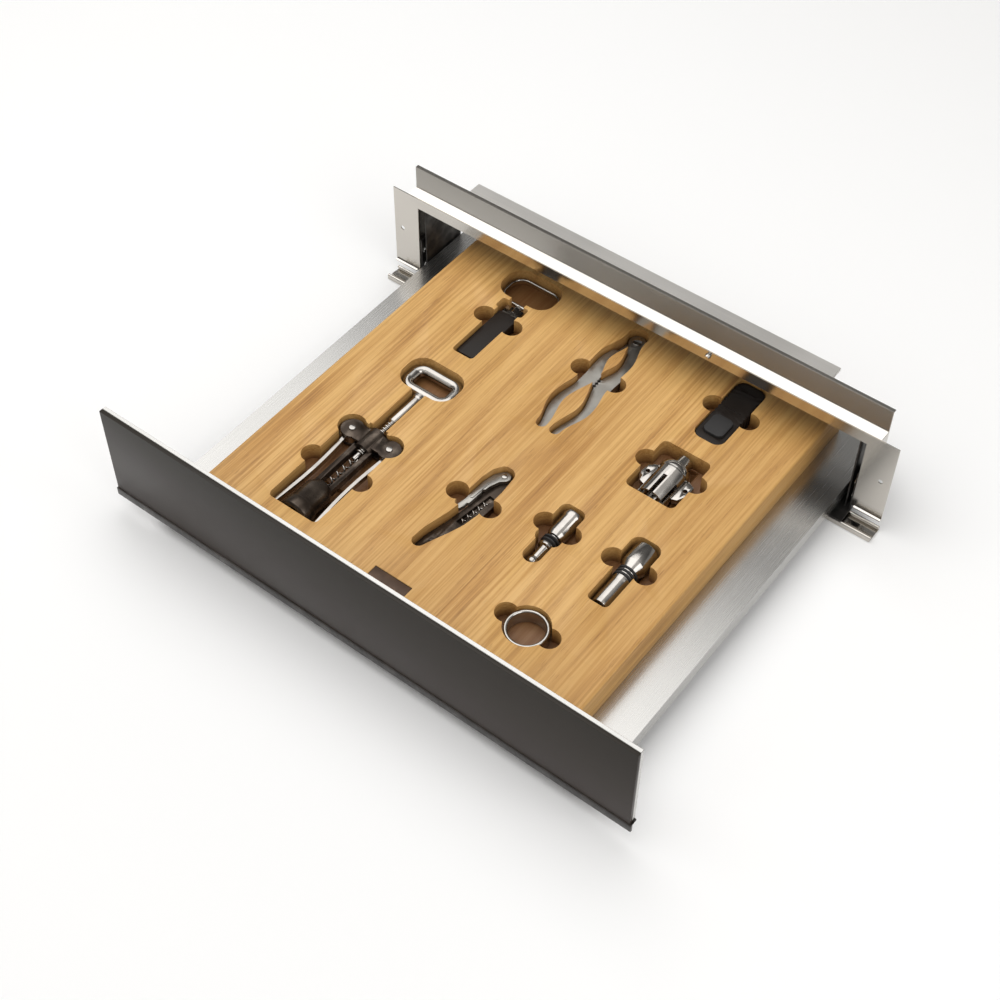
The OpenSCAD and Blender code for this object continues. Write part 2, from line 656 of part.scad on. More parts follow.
// The handles are full thickness, and each keeps to its own half of the thickness at the pivot
module pliers_half_part(left) color(chrome) drawer() translate([pliers_x, pliers_y, tool_z - 2])
    side_of(left) difference() {
        lap = 4;
        line = pliers_line(1);
        union() {
            flat(-4.5, 4.5) polygon(strip(
                [for (i = [lap : pliers_steps]) line[i]],
                [for (i = [lap : pliers_steps]) pliers_half[i]]
            ));
            flat(left ? -4.3 : 0.3, left ? -0.3 : 4.3) polygon(strip(
                [for (i = [0 : lap + 1]) line[i]],
                [for (i = [0 : lap + 1]) pliers_half[i] - 0.1]
            ));
            translate([0, 0, left ? -4.6 : 0.15]) cylinder(h = 4.45, r = 9);
        }
        translate([0, 0, -6]) cylinder(h = 12, r = 3.05);
        for (i = [-2 : 2]) translate([0.4, -pliers_l * 0.47 + i * 4, -6]) cylinder(h = 12, r = 1.5);
    }
module pliers_left_half() pliers_half_part(true);
module pliers_right_half() pliers_half_part(false);
module pliers_pivot() color(chrome) drawer() translate([pliers_x, pliers_y, tool_z - 2]) {
    translate([0, 0, -4.6]) cylinder(h = 9.2, r = 3);
    translate([0, 0, 4.6]) cylinder(h = 1.3, r = 5);
}

module cutter_body() color(black) drawer() translate([cutter_x, cutter_y, tool_z]) difference() {
    flat(-8.7, 9) rounded(31, 88, 9);
    translate([0, -22, 6]) linear_extrude(4) rounded(22.4, 26.4, 6.2);
    for (x = [-15.5, 15.5], y = [-6 : 6 : 36]) translate([x, y, -9]) cylinder(h = 19, r = 1.2);
    block(-9, 9, 4, 5.2, 8, 10);
    block(-9, 9, 32, 33.2, 8, 10);
}
module cutter_pad() color(rubber) drawer() translate([cutter_x, cutter_y - 22, tool_z + 6])
    linear_extrude(6) rounded(22, 26, 6);

// Centre lines and half widths of the waiter's knife: its handle, then its two-step lever
waiter_line = [[-8, -60], [-5.5, -48], [-1, -34], [3, -20], [5.6, -4], [7, 12], [8, 30], [7, 50]];
waiter_half = [5.6, 7.4, 8.6, 9.4, 9.6, 9.2, 8.6, 8];
waiter_arm = [[5, 52], [0, 46], [-3.4, 34], [-4.6, 20], [-5, 8], [-7.4, -2]];
waiter_arm_half = [6, 5.2, 4.2, 3.4, 3.2, 2.6];
module waiter_pose() drawer() translate([0, waiter_y, tool_z - 2]) children();
module waiter_handle() color(dark_steel) waiter_pose() difference() {
    flat(-6, 2) polygon(strip(waiter_line, waiter_half));
    translate([-4.6, -46, 1]) cylinder(h = 3, r = 2.4);
    translate([5, 52, -7]) cylinder(h = 12, r = 1.6);
    translate([3, -16, 0]) rotate(-8) block(-3.3, 3.3, 0, 44, -2.4, 3);
}
module waiter_lever() color(chrome) waiter_pose() difference() {
    union() {
        flat(2.3, 6.5) polygon(strip(waiter_arm, waiter_arm_half));
        flat(6, 7.4) bar([-2.6, 36], [-4.6, 14], 1.6);
    }
    translate([5, 52, 1]) cylinder(h = 8, r = 1.6);
    for (p = [[0.4, 26], [-1.8, 4]]) translate([p[0], p[1], 1]) cylinder(h = 8, r = 2.2);
}
module waiter_worm() color(chrome) waiter_pose() translate([3, -16, 1]) rotate(-8)
    translate([0, 3, 0]) helix_y(2.4, 0.6, 7, 5);
module waiter_pins() color(chrome) waiter_pose() translate([5, 52, -6.9]) {
    translate([0, 0, 0.9]) cylinder(h = 12.5, r = 1.5);
    translate([0, 0, 13.4]) cylinder(h = 0.9, r = 2.8);
    cylinder(h = 0.9, r = 2.8);
}

module stopper_body() color(chrome) drawer() translate([stopper_x, stopper_y, tool_z]) {
    turned_y() polygon([
        [0, 6], [4.6, 8], [5.2, 22], [8, 23], [8, 26], [6.4, 27], [6.4, 36], [8, 37],
        [9.6, 42], [9.6, 62], [10.6, 64], [10.6, 68], [9, 70], [0, 70]
    ]);
    translate([0, 4, 0]) sphere(6);
}
module stopper_seal() color(rubber) drawer() translate([stopper_x, stopper_y, tool_z])
    turned_y() for (y = [29, 33]) translate([6.4, y]) polygon([[0, -1.4], [2.6, -0.8], [2.6, 0.8], [0, 1.4]]);

module pourer_body() color(chrome) drawer() translate([pourer_x, pourer_y, tool_z]) turned_y() polygon([
    [5.5, 0], [8.2, 0], [8.6, 3], [8.6, 30], [9.2, 34], [9.2, 47], [12.6, 54], [12.9, 58],
    [12.9, 76], [11.4, 76], [11.4, 58], [7, 48], [5.5, 30]
]);
module pourer_seal() color(rubber) drawer() translate([pourer_x, pourer_y, tool_z]) turned_y()
    for (y = [37, 41, 45]) translate([9.2, y]) polygon([[0, -1.4], [1.2, -1], [1.2, 1], [0, 1.4]]);

module sparkling_cap() color(chrome) drawer() translate([cap_x, cap_y, tool_z]) difference() {
    turned_y() polygon([
        [0, 31], [7.5, 31], [9, 29.5], [9, 20], [11, 17], [15.6, 15], [16.6, 12], [16.6, 8],
        [15.2, 7], [15.2, -30], [13.4, -30], [13.4, 6], [9, 13], [0, 14]
    ]);
    for (a = [0 : 60 : 300]) rotate([0, a, 0]) translate([0, -31, 0]) block(-2.2, 2.2, 0, 26, 10, 20);
}
module sparkling_grip() color(chrome) drawer() translate([cap_x, cap_y, tool_z]) for (s = [-1, 1]) {
    flat(-3, 3) difference() {
        polygon([[s * 16.8, 10], [s * 25.5, 6], [s * 25.8, -6], [s * 21, -16], [s * 15.4, -18], [s * 15.4, 6], [s * 16.8, 8]]);
        translate([s * 21, -2]) circle(2.2);
    }
}

module drip_ring() color(chrome) drawer() translate([drip_x, drip_y, floor_z + run_gap]) rotate_extrude()
    polygon([
        [drip_r - 3.6, 1], [drip_r - 2.6, 0], [drip_r - 1, 0], [drip_r, 1], [drip_r, 15],
        [drip_r - 1, 16.5], [drip_r - 2.6, 16.5], [drip_r - 3.6, 15.5]
    ]);

front_frame();
rebate_profile();
top_plate();
side_post_left();
side_post_right();
collar_top();
cross_rail();
guide_bracket_left();
guide_bracket_right();
roller_axles();
bracket_rivets();
latch_body();
latch_spring();
latch_plunger();
roller(true, 0);  // roller_left_1
roller(true, 1);  // roller_left_2
roller(true, 2);  // roller_left_3
roller(false, 0);  // roller_right_1
roller(false, 1);  // roller_right_2
roller(false, 2);  // roller_right_3
drawer_tray();
drawer_rail_left();
drawer_rail_right();
rail_end_stops();
front_carrier();
front_glass();
grip_profile();
front_blocks();
front_screws();
front_buffers();
strike_plate();
oak_base_board();
oak_top_board();
name_plate();
corkscrew_frame();
corkscrew_spindle();
corkscrew_ring();
corkscrew_worm();
corkscrew_lever_left();
corkscrew_lever_right();
corkscrew_pins();
puller_handle();
puller_blades();
puller_sheath();
pliers_left_half();
pliers_right_half();
pliers_pivot();
cutter_body();
cutter_pad();
waiter_handle();
waiter_lever();
waiter_worm();
waiter_pins();
stopper_body();
stopper_seal();
pourer_body();
pourer_seal();
sparkling_cap();
sparkling_grip();
drip_ring();
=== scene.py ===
"""Looks of a built-in drawer with a dark glass front, roller guides and an oak insert of wine tools."""

import json
import logging
import math
from dataclasses import dataclass
from enum import Enum
from typing import Any, Sequence

import bmesh
import bpy
from mathutils import Matrix, Vector

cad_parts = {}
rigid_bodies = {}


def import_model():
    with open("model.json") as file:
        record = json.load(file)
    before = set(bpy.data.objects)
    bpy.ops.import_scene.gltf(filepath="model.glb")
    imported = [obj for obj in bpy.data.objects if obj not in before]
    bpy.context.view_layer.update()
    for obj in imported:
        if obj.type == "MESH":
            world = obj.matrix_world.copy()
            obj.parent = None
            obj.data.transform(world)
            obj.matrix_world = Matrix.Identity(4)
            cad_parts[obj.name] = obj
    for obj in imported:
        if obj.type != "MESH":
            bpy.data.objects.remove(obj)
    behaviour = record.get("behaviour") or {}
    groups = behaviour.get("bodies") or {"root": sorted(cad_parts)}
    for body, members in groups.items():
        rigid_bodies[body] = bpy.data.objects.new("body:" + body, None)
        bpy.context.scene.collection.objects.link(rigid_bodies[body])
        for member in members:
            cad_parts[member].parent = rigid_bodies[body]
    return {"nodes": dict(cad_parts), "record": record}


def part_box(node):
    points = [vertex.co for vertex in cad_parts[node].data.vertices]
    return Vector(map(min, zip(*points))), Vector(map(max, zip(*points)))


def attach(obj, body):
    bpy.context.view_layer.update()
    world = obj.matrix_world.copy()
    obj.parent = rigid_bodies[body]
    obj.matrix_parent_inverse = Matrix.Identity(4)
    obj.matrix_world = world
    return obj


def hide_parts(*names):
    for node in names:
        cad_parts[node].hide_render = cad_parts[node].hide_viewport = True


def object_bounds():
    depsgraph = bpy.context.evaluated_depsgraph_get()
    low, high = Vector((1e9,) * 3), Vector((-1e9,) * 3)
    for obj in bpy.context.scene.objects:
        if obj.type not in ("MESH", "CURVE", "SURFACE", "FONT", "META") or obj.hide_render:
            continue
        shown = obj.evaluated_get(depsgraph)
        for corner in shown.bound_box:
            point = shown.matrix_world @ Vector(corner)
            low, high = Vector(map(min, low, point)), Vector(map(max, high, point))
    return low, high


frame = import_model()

CAD_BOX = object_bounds()
LOG = logging.getLogger("drawer")
BODY_OF = {n: body for body, nodes in frame["record"]["behaviour"]["bodies"].items() for n in nodes}
SLOT_OF = {part["node"]: part["material_slot"] for part in frame["record"]["subparts"]}
Colour = tuple[float, float, float]
Point = tuple[float, float, float]
NOISE_LOW, NOISE_HIGH = 0.3, 0.7  # where most of a noise texture's values lie
WELD = 2e-6  # corners closer than this are one corner
SLIVER = 1e-6  # edges shorter than this are dropped
FLAT = 0.6  # degrees that neighbouring triangles of one face may turn
FOLD = 40.0  # degrees past which an edge of folded sheet is eased
BLUNT = 50.0  # degrees past which an edge of a moulded or forged part is eased


class Axis(Enum):
    """A row axis, as a unit vector."""

    X = (1.0, 0.0, 0.0)
    Y = (0.0, 1.0, 0.0)
    Z = (0.0, 0.0, 1.0)


# ---------- finishes ----------


class Graph:
    """A material's node tree around one Principled shader."""

    def __init__(self, name: str) -> None:
        """Starts an empty material.

        Args:
            name: The material's name.
        """
        self.material = bpy.data.materials.new(name)
        self.material.use_nodes = True
        self.tree = self.material.node_tree
        self.tree.nodes.clear()
        output = self.tree.nodes.new("ShaderNodeOutputMaterial")
        self.shader = self.tree.nodes.new("ShaderNodeBsdfPrincipled")
        self.tree.links.new(self.shader.outputs["BSDF"], output.inputs["Surface"])
        self.place = self.tree.nodes.new("ShaderNodeTexCoord").outputs["Object"]

    def feed(self, socket: bpy.types.NodeSocket, value: Any) -> None:
        """Links a socket to another one, or sets its value.

        Args:
            socket: The input to feed.
            value: A socket, or a constant.
        """
        if isinstance(value, bpy.types.NodeSocket):
            self.tree.links.new(value, socket)
        else:
            socket.default_value = value

    def add(self, kind: str, inputs: dict[Any, Any] | None = None, **settings: Any) -> bpy.types.Node:
        """Adds a node.

        Args:
            kind: The node's type name.
            inputs: Values or sockets by input name or number.
            **settings: The node's own properties.

        Returns:
            The new node.
        """
        node = self.tree.nodes.new(kind)
        for key, value in settings.items():
            setattr(node, key, value)
        for key, value in (inputs or {}).items():
            self.feed(node.inputs[key], value)
        return node

    def surface(self, **inputs: Any) -> None:
        """Feeds the shader's inputs, with underscores for spaces."""
        for key, value in inputs.items():
            self.feed(self.shader.inputs[key.replace("_", " ")], value)

    def stretched(self, scale: Sequence[float], source: Any = None) -> bpy.types.NodeSocket:
        """Object coordinates scaled along each axis.

        Args:
            scale: The factors along X, Y and Z.
            source: The vector to scale, or None for the object's own coordinates.

        Returns:
            The scaled vector.
        """
        start = self.place if source is None else source
        return self.add("ShaderNodeMapping", {"Vector": start, "Scale": tuple(scale)}).outputs["Vector"]

    def noise(
        self, vector: Any, scale: float, detail: float = 2.0, distortion: float = 0.0
    ) -> bpy.types.NodeSocket:
        """A noise value from 0 to 1.

        Args:
            vector: Where to read the noise.
            scale: How fine it is, per metre.
            detail: How many octaves.
            distortion: How much it is bent.

        Returns:
            The value.
        """
        settings = {"Vector": vector, "Scale": scale, "Detail": detail, "Distortion": distortion}
        return self.add("ShaderNodeTexNoise", settings).outputs["Fac"]

    def span(self, value: Any, low: float, high: float, start: float, end: float) -> bpy.types.NodeSocket:
        """A value moved from one range to another and kept inside it.

        Args:
            value: The value.
            low: Where the first range starts.
            high: Where the first range ends.
            start: What low becomes.
            end: What high becomes.

        Returns:
            The moved value.
        """
        ends = {"Value": value, "From Min": low, "From Max": high, "To Min": start, "To Max": end}
        return self.add("ShaderNodeMapRange", ends).outputs["Result"]

    def spread(self, noise: Any, start: float, end: float) -> bpy.types.NodeSocket:
        """A noise value moved from where it mostly lies to another range.

        Args:
            noise: The noise value.
            start: What its low end becomes.
            end: What its high end becomes.

        Returns:
            The moved value.
        """
        return self.span(noise, NOISE_LOW, NOISE_HIGH, start, end)

    def maths(self, operation: str, first: Any, second: Any = 0.0) -> bpy.types.NodeSocket:
        """One step of arithmetic.

        Args:
            operation: The operation's name.
            first: The first value.
            second: The second value.

        Returns:
            The result.
        """
        return self.add("ShaderNodeMath", {0: first, 1: second}, operation=operation).outputs[0]

    def blend(self, factor: Any, first: Any, second: Any, way: str = "MIX") -> bpy.types.NodeSocket:
        """Two colours blended.

        Args:
            factor: How much of the second.
            first: The first colour.
            second: The second colour.
            way: The blend type.

        Returns:
            The blended colour.
        """
        a = opaque(first) if isinstance(first, tuple) else first
        b = opaque(second) if isinstance(second, tuple) else second
        node = self.add("ShaderNodeMix", {0: factor, 6: a, 7: b}, data_type="RGBA", blend_type=way)
        return node.outputs[2]

    def ramp(self, value: Any, stops: Sequence[tuple[float, Colour]]) -> bpy.types.NodeSocket:
        """A value read off a row of colours.

        Args:
            value: The value from 0 to 1.
            stops: Positions and their colours.

        Returns:
            The colour.
        """
        node = self.add("ShaderNodeValToRGB", {"Fac": value})
        elements = node.color_ramp.elements
        while len(elements) < len(stops):
            elements.new(0.5)
        for element, (position, colour) in zip(elements, stops):
            element.position = position
            element.color = opaque(colour)
        return node.outputs["Color"]

    def bump(self, height: Any, distance: float, strength: float = 1.0) -> None:
        """Raises the surface by a height value.

        Args:
            height: The height from 0 to 1.
            distance: What a height of 1 measures, in metres.
            strength: How much of it shows.
        """
        settings = {"Height": height, "Distance": distance, "Strength": strength}
        self.surface(Normal=self.add("ShaderNodeBump", settings).outputs["Normal"])


def opaque(colour: Sequence[float]) -> tuple[float, ...]:
    """A colour with full opacity."""
    return (*colour[:3], 1.0)


@dataclass(frozen=True)
class BrushedMetal:
    """Sheet metal with fine brush lines along one axis."""

    name: str
    colour: Colour
    rough: float = 0.24
    spread: float = 0.1
    along: Axis = Axis.X
    lines: float = 2600.0
    along_lines: float = 14.0
    clouds: float = 9.0
    line_share: float = 0.55
    dark: float = 0.86
    light: float = 1.05
    relief: float = 4e-6

    def material(self) -> bpy.types.Material:
        """Builds the material."""
        graph = Graph(self.name)
        brush = [self.lines if part == 0.0 else self.along_lines for part in self.along.value]
        lines = graph.noise(graph.stretched(brush), 1.0, 3.0)
        cloud = graph.noise(graph.place, self.clouds, 3.0)
        from_lines = graph.maths("MULTIPLY", lines, self.line_share)
        from_cloud = graph.maths("MULTIPLY", cloud, 1.0 - self.line_share)
        tone = graph.maths("ADD", from_lines, from_cloud)
        dark = tuple(self.dark * part for part in self.colour)
        light = tuple(min(1.0, self.light * part) for part in self.colour)
        graph.surface(
            Base_Color=graph.ramp(tone, [(NOISE_LOW, dark), (NOISE_HIGH, light)]),
            Metallic=1.0,
            Roughness=graph.spread(tone, self.rough - self.spread / 2, self.rough + self.spread / 2),
        )
        graph.bump(lines, self.relief)
        return graph.material


@dataclass(frozen=True)
class PolishedMetal:
    """Plated metal with faint smears and hair scratches."""

    name: str
    colour: Colour
    rough: float = 0.1
    wear: float = 0.12
    smears: float = 55.0
    hairs: Point = (900.0, 120.0, 900.0)
    dark: float = 0.8
    relief: float = 3e-6

    def material(self) -> bpy.types.Material:
        """Builds the material."""
        graph = Graph(self.name)
        smear = graph.noise(graph.place, self.smears, 4.0, 0.6)
        hair = graph.noise(graph.stretched(self.hairs), 1.0, 2.0, 1.5)
        dark = tuple(self.dark * part for part in self.colour)
        graph.surface(
            Base_Color=graph.ramp(smear, [(NOISE_LOW, dark), (0.62, self.colour)]),
            Metallic=1.0,
            Roughness=graph.spread(smear, self.rough, self.rough + self.wear),
        )
        graph.bump(hair, self.relief)
        return graph.material


@dataclass(frozen=True)
class CoatedMetal:
    """Painted or blackened metal with a fine orange-peel and rubbed places."""

    name: str
    colour: Colour
    rubbed: Colour
    rough: float = 0.38
    metallic: float = 0.6
    clouds: float = 70.0
    peel: float = 1400.0
    relief: float = 6e-6

    def material(self) -> bpy.types.Material:
        """Builds the material."""
        graph = Graph(self.name)
        cloud = graph.noise(graph.place, self.clouds, 4.0)
        peel = graph.noise(graph.place, self.peel, 2.0)
        graph.surface(
            Base_Color=graph.ramp(cloud, [(0.45, self.colour), (0.75, self.rubbed)]),
            Metallic=self.metallic,
            Roughness=graph.spread(cloud, self.rough + 0.06, self.rough - 0.08),
        )
        graph.bump(peel, self.relief)
        return graph.material


@dataclass(frozen=True)
class TintedGlass:
    """Dark backed glass with a clear polished face, lightened towards the top by a painted sky reflection."""

    name: str
    # colour and deep: the glass's tone at the top and at the bottom of the painted reflection gradient
    colour: Colour
    deep: Colour
    rough: float = 0.3
    ior: float = 1.27
    bottom: float = -0.045
    top: float = 0.065
    lift: float = 1.22
    waves: float = 40.0
    relief: float = 4e-6

    def material(self) -> bpy.types.Material:
        """Builds the material."""
        graph = Graph(self.name)
        haze = graph.noise(graph.place, 6.0, 3.0)
        # painted reflection: the glass turns lighter and greyer towards the top, standing in for the bright
        # sky it mirrors, and deeper brown towards the bottom
        height = graph.add("ShaderNodeSeparateXYZ", {0: graph.place}).outputs[2]
        sky_reflection_tint = graph.blend(graph.span(height, self.bottom, self.top, 0.0, 1.0), self.deep, self.colour)
        light = graph.add("ShaderNodeHueSaturation", {"Value": self.lift, "Color": sky_reflection_tint}).outputs[0]
        graph.surface(
            Base_Color=graph.blend(graph.span(haze, 0.3, 0.75, 0.0, 1.0), sky_reflection_tint, light),
            Roughness=graph.spread(haze, self.rough, self.rough + 0.08),
            IOR=self.ior,
        )
        graph.bump(graph.noise(graph.place, self.waves, 1.0), self.relief)
        return graph.material


@dataclass(frozen=True)
class MouldedPlastic:
    """Moulded plastic with a fine spark-eroded grain."""

    name: str
    colour: Colour
    rough: float = 0.42
    grain: float = 2400.0
    gloss: float = 0.5
    clouds: float = 60.0
    light: float = 1.5
    relief: float = 1.2e-5

    def material(self) -> bpy.types.Material:
        """Builds the material."""
        graph = Graph(self.name)
        grain = graph.noise(graph.place, self.grain, 2.0)
        cloud = graph.noise(graph.place, self.clouds, 3.0)
        light = tuple(self.light * part for part in self.colour)
        graph.surface(
            Base_Color=graph.ramp(cloud, [(0.35, self.colour), (0.8, light)]),
            Roughness=graph.spread(cloud, self.rough - 0.05, self.rough + 0.07),
            Specular_IOR_Level=self.gloss,
        )
        graph.bump(grain, self.relief)
        return graph.material


@dataclass(frozen=True)
class OiledOak:
    """Oiled oak glued up from staves that run along Y."""

    name: str
    pale: Colour = (0.70, 0.42, 0.145)
    warm: Colour = (0.50, 0.255, 0.068)
    late: Colour = (0.27, 0.115, 0.03)
    # the colour of the painted shade in the pockets
    pocket_shade: Colour = (0.135, 0.05, 0.017)
    stave: float = 0.088
    shift: float = 0.031
    stave_jump: Point = (3.1, 7.3, 1.7)
    arches: float = 5.0
    half_width: float = 0.215
    pocket_floor: float = -0.018
    face: float = 0.002
    skin: float = 0.0012
    relief: float = 5e-5

    def material(self) -> bpy.types.Material:
        """Builds the material."""
        graph = Graph(self.name)
        parts = graph.add("ShaderNodeSeparateXYZ", {0: graph.place}).outputs
        across = graph.maths("DIVIDE", graph.maths("ADD", parts[0], self.shift), self.stave)
        number = graph.maths("FLOOR", across)
        luck = graph.add("ShaderNodeTexWhiteNoise", {"W": number}, noise_dimensions="1D").outputs
        chance = luck["Value"]
        jump = {0: luck["Color"], 1: self.stave_jump}
        moved = graph.add("ShaderNodeVectorMath", jump, operation="MULTIPLY")
        place = graph.add("ShaderNodeVectorMath", {0: graph.place, 1: moved.outputs[0]}).outputs[0]
        # growth rings: long arches about a line inside or beside each stave
        line = graph.maths("ADD", number, graph.span(chance, 0.0, 1.0, -0.3, 1.3))
        inside = graph.maths("ABSOLUTE", graph.maths("SUBTRACT", across, line))
        arch = graph.maths("MULTIPLY", graph.maths("POWER", inside, 1.6), self.arches)
        bend = graph.noise(graph.stretched((16.0, 2.2, 16.0), place), 1.0, 2.0, 0.2)
        drift = graph.maths("ADD", graph.maths("MULTIPLY", parts[1], 5.0), graph.maths("MULTIPLY", bend, 4.0))
        rings = graph.maths("ADD", arch, drift)
        band = graph.maths("POWER", graph.maths("PINGPONG", rings, 1.0), 1.7)
        fibre = graph.noise(graph.stretched((420.0, 7.0, 420.0), place), 1.0, 4.0)
        pores = graph.noise(graph.stretched((1300.0, 55.0, 1300.0), place), 1.0, 2.0)
        cloud = graph.noise(graph.stretched((14.0, 2.5, 14.0), place), 1.0, 3.0)
        lines = graph.span(fibre, 0.36, 0.66, 0.0, 0.5)
        streak = graph.maths("ADD", graph.maths("MULTIPLY", band, 0.36), lines)
        grain = graph.ramp(streak, [(0.1, self.pale), (0.5, self.warm), (0.95, self.late)])
        calm = graph.blend(graph.span(cloud, 0.35, 0.7, 0.45, 0.0), grain, self.pale)
        dull = tuple(0.9 * part for part in self.warm)
        toned = graph.blend(graph.span(chance, 0.0, 1.0, 0.0, 0.35), calm, dull)
        open_pores = graph.span(pores, 0.6, 0.7, 0.0, 0.6)
        dotted = graph.blend(
            graph.maths("MULTIPLY", open_pores, graph.span(band, 0.1, 0.8, 0.35, 1.0)), toned, self.late
        )
        # painted shade: the walls and floors of the pockets darken towards the pocket floor, standing in for
        # the shade that falls in these hollows; the board's side walls are kept clear
        side = graph.maths("ABSOLUTE", parts[0])
        rim = graph.span(side, self.half_width - self.skin, self.half_width - self.skin / 2, 1.0, 0.0)
        depth = graph.span(parts[2], self.pocket_floor, self.face - self.skin, 0.85, 0.0)
        pocket_shaded = graph.blend(graph.maths("MULTIPLY", rim, depth), dotted, self.pocket_shade)
        graph.surface(Base_Color=pocket_shaded, Roughness=graph.spread(fibre, 0.42, 0.58))
        sunk = graph.span(pores, 0.6, 0.7, 0.0, 0.8)
        graph.bump(graph.maths("SUBTRACT", fibre, sunk), self.relief, 0.7)
        return graph.material


@dataclass(frozen=True)
class PaintedFloor:
    """A plain pale studio floor."""

    name: str
    colour: Colour

    def material(self) -> bpy.types.Material:
        """Builds the material."""
        graph = Graph(self.name)
        graph.surface(Base_Color=opaque(self.colour), Roughness=0.9)
        return graph.material


FINISHES: dict[str, Any] = {
    "frame_steel": BrushedMetal("frame_steel", (0.58, 0.55, 0.505), 0.17, 0.08, Axis.X),
    "frame_satin": BrushedMetal("frame_satin", (0.66, 0.64, 0.61), 0.44, 0.1, Axis.X),
    "tray_steel": BrushedMetal("tray_steel", (0.56, 0.55, 0.53), 0.26, 0.08, Axis.Y),
    "guide_steel": CoatedMetal("guide_steel", (0.035, 0.033, 0.031), (0.10, 0.095, 0.088), 0.36, 0.7),
    "pin_steel": PolishedMetal("pin_steel", (0.66, 0.65, 0.63), 0.16, 0.12),
    "guide_plastic": MouldedPlastic("guide_plastic", (0.018, 0.018, 0.02)),
    "buffer_rubber": MouldedPlastic("buffer_rubber", (0.012, 0.012, 0.012), 0.7, 900.0),
    "front_glass": TintedGlass("front_glass", (0.027, 0.023, 0.0185), (0.023, 0.0135, 0.009)),
    "grip_dark": CoatedMetal("grip_dark", (0.018, 0.0145, 0.012), (0.04, 0.033, 0.028), 0.34, 0.5),
    "oak": OiledOak("oak"),
    "plate_dark": CoatedMetal("plate_dark", (0.062, 0.03, 0.0135), (0.1, 0.05, 0.024), 0.5, 0.2),
    "tool_chrome": PolishedMetal("tool_chrome", (0.46, 0.435, 0.405), 0.09, 0.12),
    "tool_satin": PolishedMetal("tool_satin", (0.40, 0.385, 0.355), 0.36, 0.12),
    "tool_dark": CoatedMetal("tool_dark", (0.05, 0.037, 0.028), (0.15, 0.12, 0.095), 0.3, 0.8),
    "tool_black": MouldedPlastic("tool_black", (0.013, 0.0095, 0.0075), 0.42, 1800.0, 0.22),
    "tool_rubber": MouldedPlastic("tool_rubber", (0.014, 0.013, 0.013), 0.62, 1200.0),
}
MATERIALS = {slot: finish.material() for slot, finish in FINISHES.items()}


# ---------- making and placing pieces ----------


def settle(bm: bmesh.types.BMesh, name: str, sharp: float = 32.0) -> bpy.types.Object:
    """Turns a finished bmesh into an object at the origin.

    Args:
        bm: The shape, in the row frame.
        name: The object's name.
        sharp: Edges that turn by more than this many degrees stay sharp.

    Returns:
        The new object.
    """
    mesh = bpy.data.meshes.new(name)
    bm.to_mesh(mesh)
    bm.free()
    mesh.shade_smooth()
    mesh.set_sharp_from_angle(angle=math.radians(sharp))
    piece = bpy.data.objects.new(name, mesh)
    bpy.context.scene.collection.objects.link(piece)
    return piece


def dress(piece: bpy.types.Object, slot: str, body: str, stands_for: Sequence[str] = ()) -> bpy.types.Object:
    """Gives a new piece its finish and the body it rides on.

    Args:
        piece: The piece, already in place.
        slot: The finish's slot.
        body: The body it moves with.
        stands_for: The nodes it replaces.

    Returns:
        The same piece.
    """
    piece.data.materials.clear()
    piece.data.materials.append(MATERIALS[slot])
    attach(piece, body)
    if stands_for:
        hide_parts(*stands_for)
    return piece


def merged(node: str) -> bmesh.types.BMesh:
    """A node's shape with its loose triangles joined into whole faces.

    Args:
        node: The node's name.

    Returns:
        The joined shape.
    """
    bm = bmesh.new()
    bm.from_mesh(frame["nodes"][node].data)
    bmesh.ops.remove_doubles(bm, verts=bm.verts[:], dist=WELD)
    bmesh.ops.dissolve_degenerate(bm, edges=bm.edges[:], dist=SLIVER)
    bmesh.ops.dissolve_limit(
        bm, angle_limit=math.radians(FLAT), verts=bm.verts[:], edges=bm.edges[:],
        use_dissolve_boundaries=False,
    )
    return bm


def turning(bm: bmesh.types.BMesh, least: float = 35.0) -> list[bmesh.types.BMEdge]:
    """The edges where two faces meet at more than an angle.

    Args:
        bm: The shape.
        least: The angle in degrees.

    Returns:
        The edges.
    """
    limit = math.radians(least)
    return [e for e in bm.edges if e.is_manifold and e.calc_face_angle(0.0) > limit]


def ease(bm: bmesh.types.BMesh, edges: list[bmesh.types.BMEdge], width: float, segments: int = 1) -> None:
    """Takes the sharpness off some edges.

    Args:
        bm: The shape.
        edges: The edges to ease.
        width: How wide the eased edge is.
        segments: How many facets it has.
    """
    bmesh.ops.bevel(
        bm, geom=edges, offset=width, offset_type="OFFSET", segments=segments, profile=0.5,
        affect="EDGES", material=-1, clamp_overlap=True,
    )


def eased(node: str, width: float, segments: int = 1, least: float = 35.0) -> bpy.types.Object:
    """A node's shape with eased edges, in its own finish and on its own body.

    Args:
        node: The node's name.
        width: How wide the eased edges are.
        segments: How many facets they have.
        least: Only edges that turn by more than this many degrees are eased.

    Returns:
        The new piece.
    """
    bm = merged(node)
    ease(bm, turning(bm, least), width, segments)
    return dress(settle(bm, f"{node}_finished"), SLOT_OF[node], BODY_OF[node], [node])


def plain(*nodes: str) -> None:
    """Gives CAD nodes that keep their shape their finish.

    Args:
        *nodes: The nodes' names.
    """
    for node in nodes:
        data = frame["nodes"][node].data
        data.materials.clear()
        data.materials.append(MATERIALS[SLOT_OF[node]])


